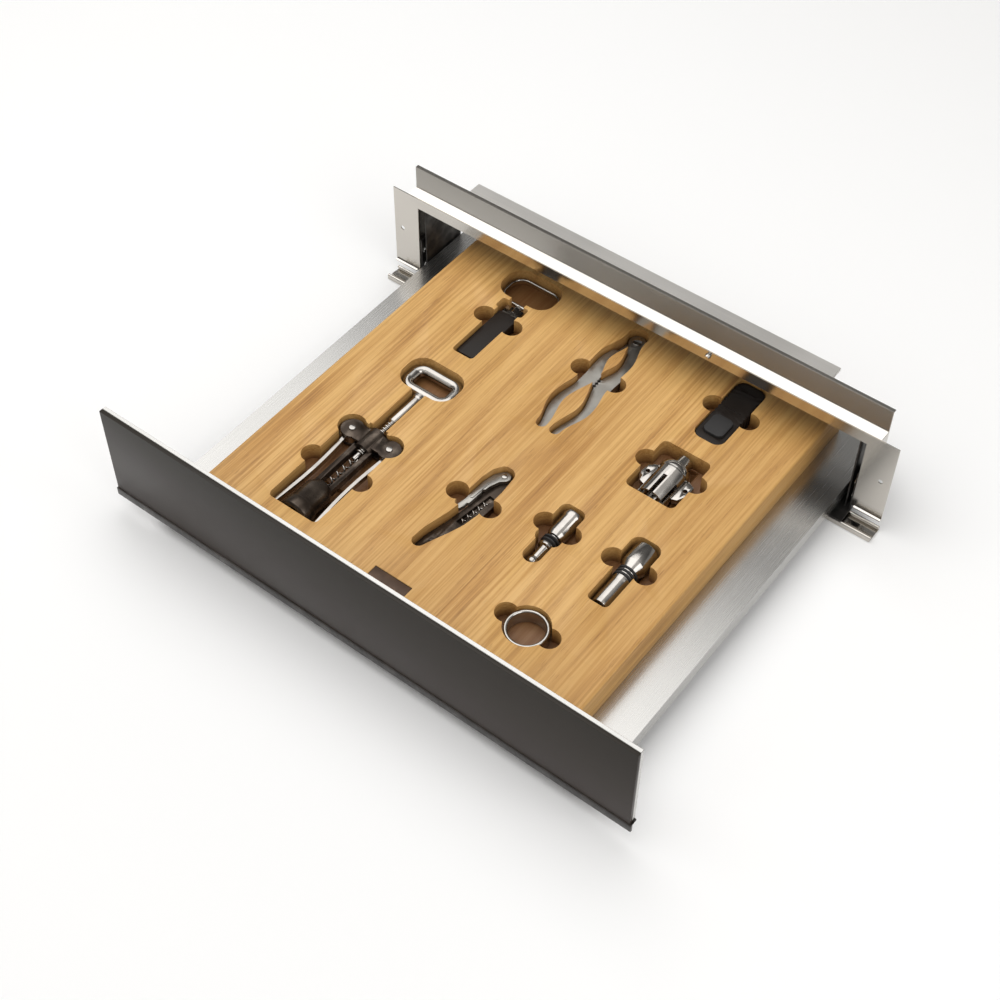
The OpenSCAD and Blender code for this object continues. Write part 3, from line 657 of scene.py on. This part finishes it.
def wire_coil(
    centre: Point, radius: float, wire: float, pitch: float, turns: float, tip: bool = False
) -> bmesh.types.BMesh:
    """A round wire wound about Y.

    Args:
        centre: Where the coil's axis starts.
        radius: The radius of the coil's centre line.
        wire: The wire's radius.
        pitch: The rise for each turn.
        turns: How many turns.
        tip: Whether the coil starts in a point.

    Returns:
        The coil's shape.
    """
    steps = 20
    tip_steps = 12
    tip_scale = 0.15
    bm = bmesh.new()
    ring = bmesh.ops.create_circle(bm, cap_ends=True, segments=10, radius=wire)["verts"]
    lead = math.atan2(pitch, 2 * math.pi * radius)
    bmesh.ops.rotate(bm, verts=ring, cent=(0, 0, 0), matrix=Matrix.Rotation(lead, 3, "X"))
    bmesh.ops.translate(bm, verts=ring, vec=(radius, 0, 0))
    start = bm.faces[:]
    if tip:
        bmesh.ops.scale(bm, verts=ring, vec=(tip_scale,) * 3, space=Matrix.Translation((-radius, 0, 0)))
    last = start + [e for f in start for e in f.edges] + ring
    for number in range(int(turns * steps)):
        made = bmesh.ops.spin(
            bm, geom=last, cent=(0, 0, 0), axis=Axis.Y.value, dvec=(0, pitch / steps, 0),
            angle=-2 * math.pi / steps, steps=1, use_duplicate=False,
        )["geom_last"]
        if tip and number < tip_steps:
            verts = [v for v in made if isinstance(v, bmesh.types.BMVert)]
            middle = sum((v.co for v in verts), Vector()) / len(verts)
            now = tip_scale + (1.0 - tip_scale) * number / tip_steps
            wanted = tip_scale + (1.0 - tip_scale) * (number + 1) / tip_steps
            bmesh.ops.scale(bm, verts=verts, vec=(wanted / now,) * 3, space=Matrix.Translation(-middle))
        last = made
    bmesh.ops.recalc_face_normals(bm, faces=bm.faces[:])
    bmesh.ops.translate(bm, verts=bm.verts[:], vec=centre)
    return bm


def turned(
    profile: Sequence[tuple[float, float]], centre: Point, axis: Axis, steps: int = 64
) -> bmesh.types.BMesh:
    """A closed outline turned about an axis.

    Args:
        profile: Radius and place along the axis for each corner of the outline.
        centre: Where the axis starts.
        axis: The direction of the axis.
        steps: How many facets go round.

    Returns:
        The turned shape.
    """
    bm = bmesh.new()
    along = Vector(axis.value)
    out = Vector(Axis.Z.value) if axis is not Axis.Z else Vector(Axis.X.value)
    verts = [bm.verts.new(Vector(centre) + r * out + a * along) for r, a in profile]
    edges = [bm.edges.new((v, verts[(i + 1) % len(verts)])) for i, v in enumerate(verts)]
    bmesh.ops.spin(
        bm, geom=verts + edges, cent=centre, axis=axis.value, angle=2 * math.pi, steps=steps, use_merge=True
    )
    bmesh.ops.remove_doubles(bm, verts=bm.verts[:], dist=SLIVER)
    bmesh.ops.recalc_face_normals(bm, faces=bm.faces[:])
    return bm


def slab(low: Sequence[float], high: Sequence[float], edge: float, segments: int = 2) -> bmesh.types.BMesh:
    """A block with eased edges.

    Args:
        low: Its lowest corner.
        high: Its highest corner.
        edge: How wide the eased edges are.
        segments: How many facets they have.

    Returns:
        The block.
    """
    bm = bmesh.new()
    size = Vector(high) - Vector(low)
    middle = (Vector(high) + Vector(low)) / 2
    bmesh.ops.create_cube(bm, size=1.0, matrix=Matrix.Translation(middle) @ Matrix.Diagonal((*size, 1.0)))
    ease(bm, bm.edges[:], edge, segments)
    return bm


def centre_of(node: str) -> Vector:
    """The middle of a node's box."""
    low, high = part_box(node)
    return (Vector(low) + Vector(high)) / 2


# ---------- sub-assemblies ----------


@dataclass
class PortalFrame:
    """The steel frame that is screwed to the cabinet."""

    fold_edge: float = 0.0003
    satin: str = "top_plate"
    nodes: tuple[str, ...] = (
        "front_frame", "rebate_profile", "top_plate", "side_post_left", "side_post_right", "collar_top",
        "cross_rail",
    )

    def build(self) -> None:
        """Eases the sheet metal's edges and leaves the top plate satin."""
        for node in self.nodes:
            piece = eased(node, self.fold_edge, least=FOLD)
            if node == self.satin:
                piece.data.materials[0] = MATERIALS["frame_satin"]


@dataclass
class RollerGuides:
    """The brackets, rollers and drawer rails on both sides."""

    edge: float = 0.0003
    groove: float = 0.0006
    groove_depth: float = 0.0004
    recess: float = 0.0008
    bore: float = 0.00205
    hub: float = 0.0034
    tyre: float = 0.0012
    corner: float = 0.0005
    rivet_edge: float = 0.0004
    stop_edge: float = 0.0005

    def roller(self, node: str) -> None:
        """Makes one roller with a recessed hub and a tyre groove.

        Args:
            node: The roller's node.
        """
        low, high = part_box(node)
        middle = centre_of(node)
        half = (high[0] - low[0]) / 2
        r = (high[2] - low[2]) / 2
        rim = r - self.tyre
        upper = [
            (r, self.groove), (r, half - self.corner), (r - self.corner, half), (rim, half),
            (rim, half - self.recess), (self.hub, half - self.recess), (self.hub, half), (self.bore, half),
        ]
        lower = [(radius, -place) for radius, place in reversed(upper)]
        profile = [*lower, (r - self.groove_depth, 0.0), *upper]
        bm = turned(profile, tuple(middle), Axis.X, 48)
        dress(settle(bm, f"{node}_turned"), SLOT_OF[node], BODY_OF[node], [node])

    def build(self) -> None:
        """Makes the rollers and eases the rest."""
        for side in ("left", "right"):
            eased(f"guide_bracket_{side}", self.edge)
            eased(f"drawer_rail_{side}", self.edge)
            for number in (1, 2, 3):
                self.roller(f"roller_{side}_{number}")
        eased("roller_axles", self.edge)
        eased("bracket_rivets", self.rivet_edge, 2)
        eased("rail_end_stops", self.stop_edge, 2)


@dataclass
class PushLatch:
    """The spring catch above the opening."""

    wire: float = 0.0004
    coil: float = 0.0017
    pitch: float = 0.0011
    turns: float = 3.0
    edge: float = 0.0004

    def build(self) -> None:
        """Makes the spring and eases the body and the plunger."""
        middle = centre_of("latch_spring")
        length = self.pitch * self.turns
        start = (middle.x, middle.y - length / 2, middle.z)
        bm = wire_coil(start, self.coil, self.wire, self.pitch, self.turns)
        dress(settle(bm, "latch_spring_wound"), "pin_steel", BODY_OF["latch_spring"], ["latch_spring"])
        eased("latch_body", self.edge)
        eased("latch_plunger", self.edge, 2)


@dataclass
class SteelTray:
    """The inverted tray, its fixings and the pan behind the glass."""

    edge: float = 0.0004
    small_edge: float = 0.0003
    rubber_edge: float = 0.0006

    def build(self) -> None:
        """Eases the tray's folds and its small parts."""
        for node in ("drawer_tray", "front_carrier"):
            eased(node, self.edge, least=FOLD)
        for node in ("front_blocks", "strike_plate", "front_screws"):
            eased(node, self.small_edge)
        eased("front_buffers", self.rubber_edge, 2)


@dataclass
class GlassFront:
    """The dark glass and the grip profile under it."""

    polish: float = 0.0006
    grip_edge: float = 0.0003

    def build(self) -> None:
        """Makes the glass with polished edges and eases the grip."""
        low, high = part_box("front_glass")
        bm = slab(low, high, self.polish, 2)
        dress(settle(bm, "front_glass_pane"), "front_glass", BODY_OF["front_glass"], ["front_glass"])
        eased("grip_profile", self.grip_edge, least=20.0)


@dataclass
class OakInsert:
    """The two oak boards and the blank plate."""

    outer_edge: float = 0.0022
    pocket_edge: float = 0.0007
    base_edge: float = 0.0008
    plate_edge: float = 0.0004
    touch: float = 0.00001
    joints_x: tuple[float, ...] = (-0.124, -0.06075, 0.0025, 0.043, 0.0835, 0.1275, 0.16)
    joints_y: tuple[float, ...] = (-0.3366, -0.2502, -0.1567, -0.0522, 0.0043)
    joint: float = 0.00004

    def top_board(self) -> None:
        """Rounds the upper board's rim and eases its pockets."""
        low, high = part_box("oak_top_board")
        bm = merged("oak_top_board")

        def outer(v: bmesh.types.BMVert) -> bool:
            """Whether a point lies on the board's outer walls."""
            return min(v.co.x - low[0], high[0] - v.co.x, v.co.y - low[1], high[1] - v.co.y) < self.touch

        def upper(v: bmesh.types.BMVert) -> bool:
            """Whether a point lies on the board's top."""
            return v.co.z > high[2] - self.touch

        def glued(e: bmesh.types.BMEdge) -> bool:
            """Whether an edge lies in a glue joint between two staves."""
            return any(
                all(abs(v.co[axis] - place) < self.joint for v in e.verts)
                for axis, places in ((0, self.joints_x), (1, self.joints_y)) for place in places
            )

        rim = [
            e for e in turning(bm)
            if not glued(e) and all(outer(v) for v in e.verts) and any(upper(v) for v in e.verts)
        ]
        ease(bm, rim, self.outer_edge, 3)
        pockets = [
            e for e in turning(bm)
            if not glued(e) and all(upper(v) for v in e.verts) and not all(outer(v) for v in e.verts)
        ]
        ease(bm, pockets, self.pocket_edge, 2)
        dress(settle(bm, "oak_top_board_finished", 28.0), "oak", BODY_OF["oak_top_board"], ["oak_top_board"])

    def build(self) -> None:
        """Makes the boards and the plate."""
        self.top_board()
        eased("oak_base_board", self.base_edge, 2)
        eased("name_plate", self.plate_edge, 2)


@dataclass
class Corkscrew:
    """The winged corkscrew."""

    worm_radius: float = 0.003
    worm_wire: float = 0.0013
    worm_pitch: float = 0.009
    worm_turns: float = 8.0
    shank_length: float = 0.008
    shank_lead: float = 0.001
    shank_point: float = 0.0006
    edge: float = 0.0004
    pin_edge: float = 0.0005
    thread_edge: float = 0.0002

    def worm(self) -> None:
        """Winds the worm with a pointed tip, and its shank."""
        low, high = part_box("corkscrew_worm")
        middle = centre_of("corkscrew_worm")
        start = (middle.x, low[1] + self.worm_wire, middle.z)
        body = BODY_OF["corkscrew_worm"]
        bm = wire_coil(start, self.worm_radius, self.worm_wire, self.worm_pitch, self.worm_turns, True)
        dress(settle(bm, "corkscrew_worm_wound"), "tool_chrome", body, ["corkscrew_worm"])
        r, top = self.worm_radius, high[1]
        foot = top - self.shank_length
        shank = [(0.0, foot), (r - self.shank_point, foot), (r, foot + self.shank_lead), (r, top), (0.0, top)]
        bm = turned(shank, (middle.x, 0.0, middle.z), Axis.Y, 40)
        dress(settle(bm, "corkscrew_worm_shank"), "tool_chrome", body)

    def build(self) -> None:
        """Makes the worm and eases the rest."""
        self.worm()
        for node in ("corkscrew_frame", "corkscrew_lever_left", "corkscrew_lever_right"):
            eased(node, self.edge)
        eased("corkscrew_pins", self.pin_edge, 3)
        eased("corkscrew_spindle", self.thread_edge, least=40.0)
        plain("corkscrew_ring")


@dataclass
class CorkPuller:
    """The two-pronged puller in its sheath."""

    edge: float = 0.0008
    blade_edge: float = 0.0002

    def build(self) -> None:
        """Eases the sheath and the blades."""
        eased("puller_sheath", self.edge, 2)
        eased("puller_blades", self.blade_edge)
        plain("puller_handle")


@dataclass
class Pliers:
    """The jointed pliers."""

    edge: float = 0.0012
    pivot_edge: float = 0.0005

    def build(self) -> None:
        """Rounds the handles and the pivot."""
        for side in ("left", "right"):
            eased(f"pliers_{side}_half", self.edge, 3, BLUNT)
        eased("pliers_pivot", self.pivot_edge, 3)


@dataclass
class FoilCutter:
    """The black foil cutter."""

    edge: float = 0.001
    pad_edge: float = 0.0008

    def build(self) -> None:
        """Rounds the case and its pad."""
        eased("cutter_body", self.edge, 2, BLUNT)
        eased("cutter_pad", self.pad_edge, 2, BLUNT)


@dataclass
class WaiterKnife:
    """The folded waiter's knife."""

    edge: float = 0.0008
    lever_edge: float = 0.0005
    pin_edge: float = 0.0003

    def build(self) -> None:
        """Rounds the handle, the lever and the pins, and leaves the worm as it is."""
        eased("waiter_handle", self.edge, 2, BLUNT)
        eased("waiter_lever", self.lever_edge, 2, BLUNT)
        eased("waiter_pins", self.pin_edge, 2)
        plain("waiter_worm")


@dataclass
class BottleTools:
    """The stopper, the pourer, the bottle cap and the drip collar."""

    edge: float = 0.0005
    ring_edge: float = 0.0004
    least: float = 30.0

    def build(self) -> None:
        """Rounds the turned parts."""
        for node in ("stopper_body", "pourer_body", "sparkling_cap", "sparkling_grip"):
            eased(node, self.edge, 2, self.least)
        eased("drip_ring", self.ring_edge, 2, self.least)
        plain("stopper_seal", "pourer_seal")


# ---------- studio ----------


@dataclass
class Studio:
    """The floor, the lights and the camera."""

    place: Point = (0.6332, -1.0525, 1.2363)
    azimuth: float = 36.89
    elevation: float = 50.47
    roll: float = 0.63
    lens: float = 62.305
    floor_gap: float = 0.0005
    floor_half: float = 12.0
    floor_colour: Colour = (0.94, 0.94, 0.94)
    sky_strength: float = 0.9
    sky_behind: tuple[float, float, float, float] = (0.15, 0.5, 0.0, 0.42)
    sky: tuple[tuple[float, float], ...] = (
        (0.0, 0.42), (0.12, 0.12), (0.3, 0.2), (0.42, 0.3), (0.62, 0.8), (1.0, 0.9)
    )
    lamps: tuple[tuple[str, Point, Point, float, float], ...] = (
        ("key", (-0.7, -0.1, 1.9), (0.0, -0.1, 0.0), 2.4, 27.0),
        ("fill", (1.9, -0.5, 1.3), (0.0, -0.2, 0.0), 1.5, 14.0),
        ("front", (-0.6, -2.1, 1.2), (0.0, -0.2, 0.0), 1.4, 3.0),
    )

    def floor(self) -> None:
        """Lays the floor under the object."""
        bm = bmesh.new()
        bmesh.ops.create_grid(bm, x_segments=1, y_segments=1, size=self.floor_half)
        low = CAD_BOX[0][2]
        bmesh.ops.translate(bm, verts=bm.verts[:], vec=(0, 0, low - self.floor_gap))
        ground = settle(bm, "studio_floor")
        ground.data.materials.append(PaintedFloor("studio_floor", self.floor_colour).material())

    def lights(self) -> None:
        """Hangs the soft boxes and sets the sky."""
        for name, place, target, size, power in self.lamps:
            lamp = bpy.data.lights.new(name, "AREA")
            lamp.shape = "SQUARE"
            lamp.size = size
            lamp.energy = power
            holder = bpy.data.objects.new(name, lamp)
            holder.location = place
            holder.rotation_euler = (Vector(target) - Vector(place)).to_track_quat("-Z", "Y").to_euler()
            bpy.context.scene.collection.objects.link(holder)
        world = bpy.data.worlds.new("studio")
        bpy.context.scene.world = world
        world.use_nodes = True
        tree = world.node_tree
        sky = tree.nodes["Background"]
        sky.inputs["Strength"].default_value = self.sky_strength
        place = tree.nodes.new("ShaderNodeTexCoord")
        parts = tree.nodes.new("ShaderNodeSeparateXYZ")
        behind = tree.nodes.new("ShaderNodeMapRange")
        lowered = tree.nodes.new("ShaderNodeMath")
        lowered.operation = "SUBTRACT"
        ramp = tree.nodes.new("ShaderNodeValToRGB")
        # the sky is lowered towards +Y, so the mirrors that face the camera see its dark part
        tree.links.new(place.outputs["Generated"], parts.inputs[0])
        tree.links.new(parts.outputs["Y"], behind.inputs["Value"])
        for socket, value in zip(("From Min", "From Max", "To Min", "To Max"), self.sky_behind):
            behind.inputs[socket].default_value = value
        tree.links.new(parts.outputs["Z"], lowered.inputs[0])
        tree.links.new(behind.outputs["Result"], lowered.inputs[1])
        tree.links.new(lowered.outputs[0], ramp.inputs["Fac"])
        tree.links.new(ramp.outputs["Color"], sky.inputs["Color"])
        elements = ramp.color_ramp.elements
        while len(elements) < len(self.sky):
            elements.new(0.5)
        for element, (position, tone) in zip(elements, self.sky):
            element.position = position
            element.color = opaque((tone, 0.985 * tone, 0.96 * tone))
        view = bpy.context.scene.view_settings
        view.view_transform = "Standard"

    def camera(self) -> None:
        """Sets up the camera."""
        a, e, r = (math.radians(v) for v in (self.azimuth, self.elevation, self.roll))
        back = Vector((math.sin(a) * math.cos(e), -math.cos(a) * math.cos(e), math.sin(e)))
        right = (-back).cross(Vector((0, 0, 1))).normalized()
        up = right.cross(-back)
        turned_right = math.cos(r) * right + math.sin(r) * up
        turned_up = -math.sin(r) * right + math.cos(r) * up
        lens = bpy.data.cameras.new("camera")
        lens.sensor_width = 36.0
        lens.lens = self.lens
        lens.clip_start = 0.02
        lens.clip_end = 50.0
        holder = bpy.data.objects.new("camera", lens)
        turn = Matrix((turned_right, turned_up, back)).transposed().to_4x4()
        holder.matrix_world = Matrix.Translation(self.place) @ turn
        bpy.context.scene.collection.objects.link(holder)
        bpy.context.scene.camera = holder

    def build(self) -> None:
        """Makes the whole studio."""
        self.floor()
        self.lights()
        self.camera()


def main() -> None:
    """Builds the studio and every sub-assembly in order."""
    logging.basicConfig(level=logging.INFO, format="%(name)s: %(message)s")
    for part in (
        Studio(), PortalFrame(), RollerGuides(), PushLatch(), SteelTray(), GlassFront(), OakInsert(),
        Corkscrew(), CorkPuller(), Pliers(), FoilCutter(), WaiterKnife(), BottleTools(),
    ):
        part.build()
        LOG.info("%s done, %d objects", type(part).__name__, len(bpy.data.objects))


if __name__ == "__main__":
    main()
